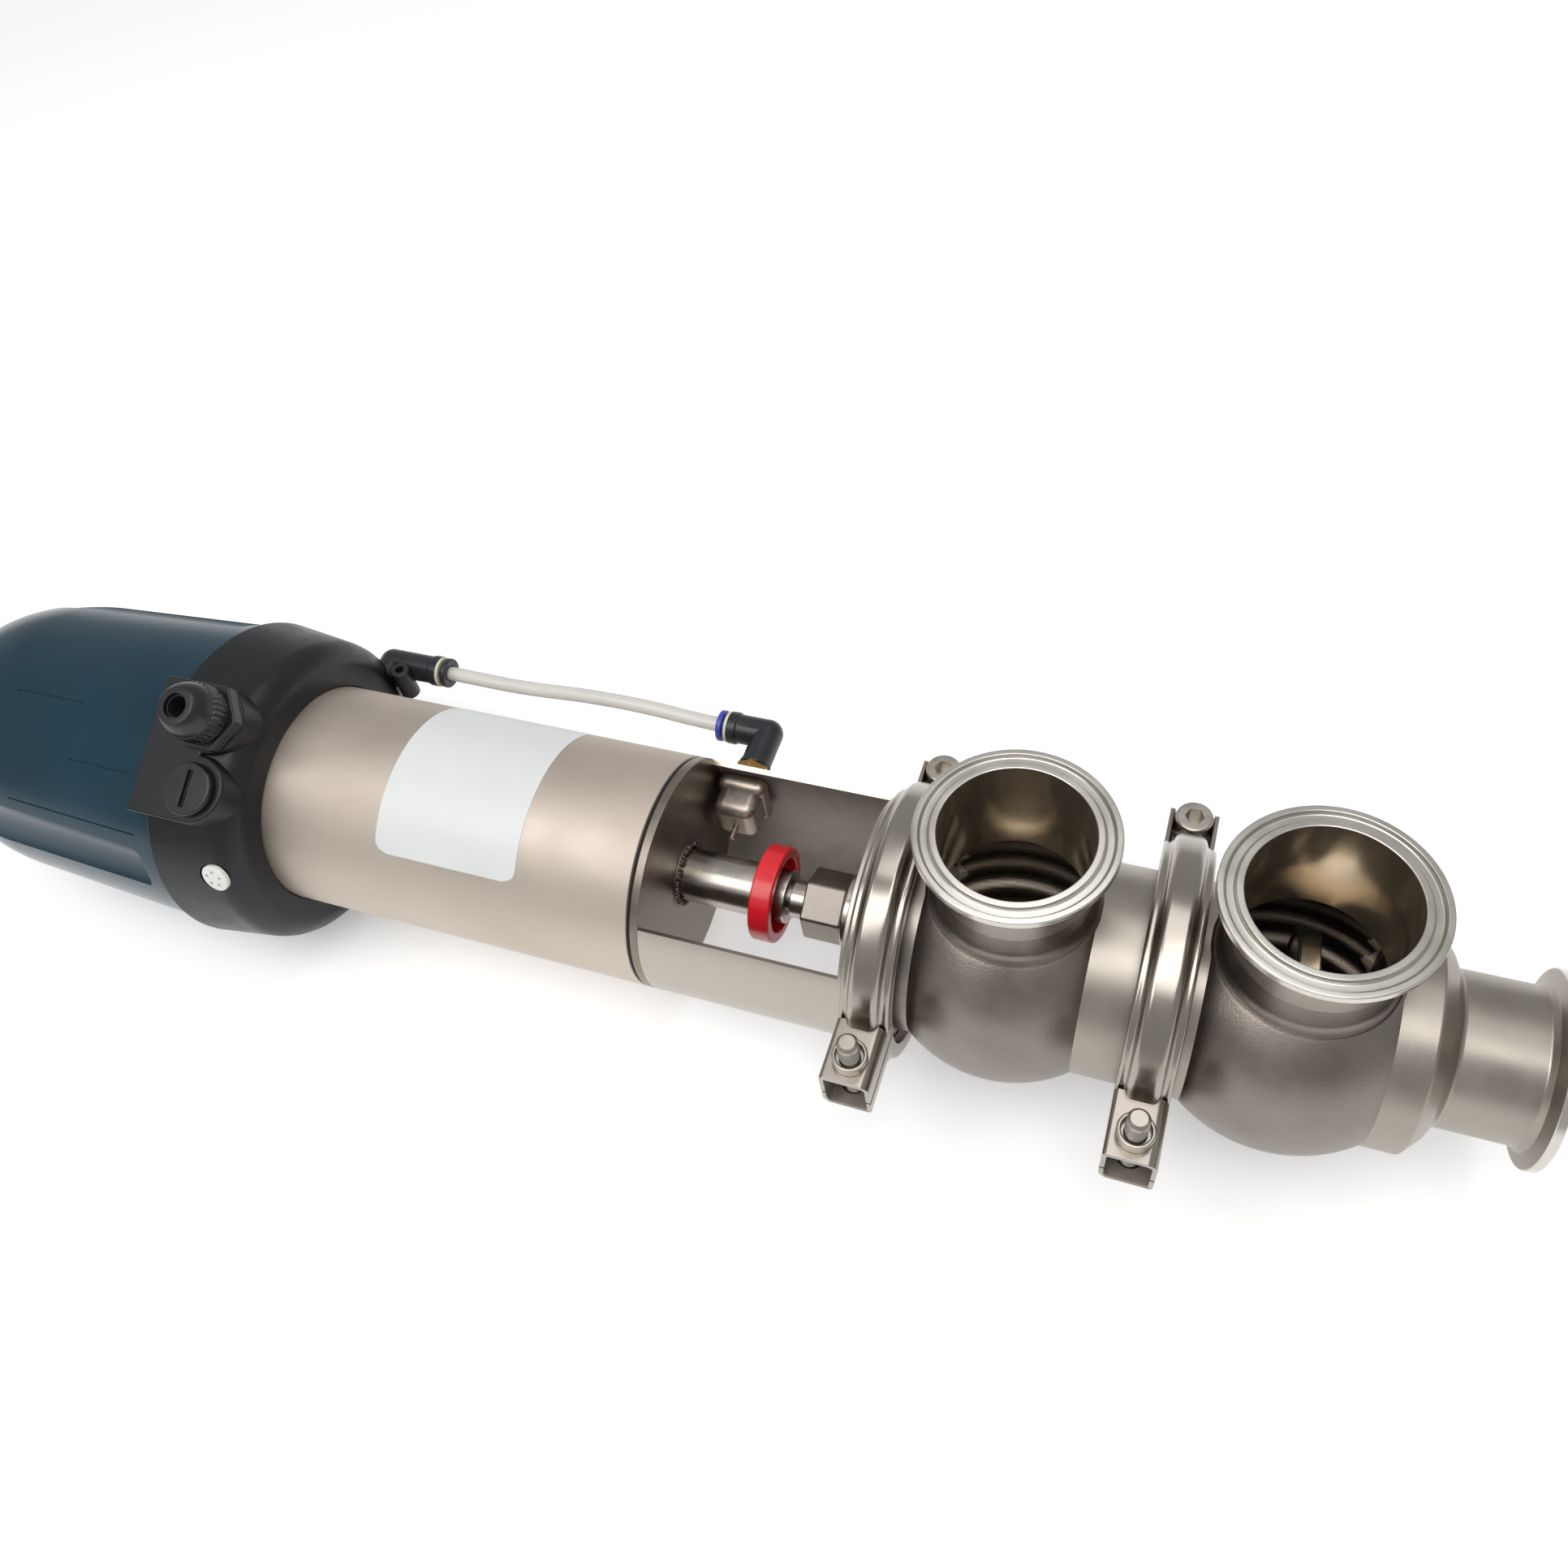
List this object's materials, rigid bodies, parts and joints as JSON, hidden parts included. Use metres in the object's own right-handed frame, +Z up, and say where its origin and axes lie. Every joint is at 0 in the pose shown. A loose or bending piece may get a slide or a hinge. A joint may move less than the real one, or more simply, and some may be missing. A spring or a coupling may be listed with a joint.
{
  "type": "pneumatic divert valve",
  "caption": "Pneumatic three-way valve: a cylinder slides a stem and plug between the seats of ball-shaped clamped bodies with clamp ferrule ports.",
  "frame": {"origin": "centre of the outlet ferrule's face", "axes": "+X along the stem out of the outlet, +Z up the two side ports, +Y to the air line"},
  "size_m": [0.6355, 0.14, 0.1508],
  "materials": {
    "ferrule_steel": "polished stainless steel",
    "blasted_steel": "bead-blasted stainless steel",
    "turned_steel": "turned stainless steel",
    "yoke_steel": "satin stainless steel",
    "clamp_steel": "rolled and pressed stainless steel",
    "fastener_steel": "plain stainless fasteners",
    "plate_steel": "turned stainless steel with weld colours",
    "cylinder_steel": "fine brushed warm stainless steel",
    "piston_aluminium": "turned",
    "spring_steel": "spring steel",
    "block_steel": "cast stainless steel with heat tint",
    "nipple_brass": "turned brass",
    "bush_plastic": "white bearing plastic",
    "seal_rubber": "black rubber",
    "red_plastic": "red plastic",
    "fitting_black": "black glass-filled plastic",
    "trim_cream": "cream plastic ring",
    "collet_blue": "blue plastic",
    "collet_black": "black plastic",
    "tube_clear": "milky polymer tube",
    "housing_black": "black moulded plastic",
    "cap_teal": "dark blue-green translucent plastic",
    "vent_white": "white plastic",
    "board_green": "circuit board laminate"
  },
  "bodies": {
    "housing": {"outlet_ferrule": "ferrule_steel", "lower_ferrule": "ferrule_steel", "upper_ferrule": "ferrule_steel", "upper_body": "blasted_steel", "lower_body": "blasted_steel", "bonnet": "blasted_steel", "stem_bush": "bush_plastic", "rod_bush": "bush_plastic", "stem_lip_seal": "seal_rubber", "bonnet_seal": "seal_rubber", "neck_seal": "seal_rubber", "end_plate_seal": "seal_rubber", "cap_seal": "seal_rubber", "gland_seal": "seal_rubber", "gland_nut": "turned_steel", "yoke": "yoke_steel", "bonnet_clamp_upper": "clamp_steel", "bonnet_clamp_lower": "clamp_steel", "neck_clamp_upper": "clamp_steel", "neck_clamp_lower": "clamp_steel", "front_clamp_bolts": "fastener_steel", "front_collar_nuts": "fastener_steel", "rear_clamp_screws": "fastener_steel", "rear_clamp_nuts": "fastener_steel", "head_screws": "fastener_steel", "end_plate": "plate_steel", "actuator_cylinder": "cylinder_steel", "top_cover": "plate_steel", "actuator_spring": "spring_steel", "air_block": "block_steel", "brass_nipple": "nipple_brass", "yoke_elbow": "fitting_black", "head_elbow": "fitting_black", "yoke_trim_ring": "trim_cream", "head_trim_ring": "trim_cream", "air_tube": "tube_clear", "head_base": "housing_black", "head_cap": "cap_teal", "cable_gland": "housing_black", "gland_dome_nut": "housing_black", "blanking_plug": "housing_black", "vent_cap": "vent_white", "circuit_board": "board_green", "solenoid_valve": "housing_black", "position_sensor": "housing_black"},
    "stem": {"piston": "piston_aluminium", "piston_seal": "seal_rubber", "piston_rod": "turned_steel", "travel_ring": "red_plastic", "plug_stem": "turned_steel", "plug": "turned_steel", "upper_plug_seal": "seal_rubber", "lower_plug_seal": "seal_rubber", "sensing_target": "turned_steel"},
    "yoke_release": {"yoke_collet": "collet_blue"},
    "head_release": {"head_collet": "collet_black"}
  },
  "joints": [
    {"name": "stem_travel", "type": "slide", "parent": "housing", "child": "stem", "axis": [1, 0, 0], "range_m": [-0.025, 0], "stiffness_N_per_m": 10000, "springref_m": 0.02, "deforming": ["actuator_spring"]},
    {"name": "yoke_collet_press", "type": "slide", "parent": "housing", "child": "yoke_release", "axis": [1, 0, 0], "range_m": [0, 0.0008], "stiffness_N_per_m": 500},
    {"name": "head_collet_press", "type": "slide", "parent": "housing", "child": "head_release", "axis": [-1, 0, 0], "range_m": [0, 0.0008], "stiffness_N_per_m": 500}
  ]
}
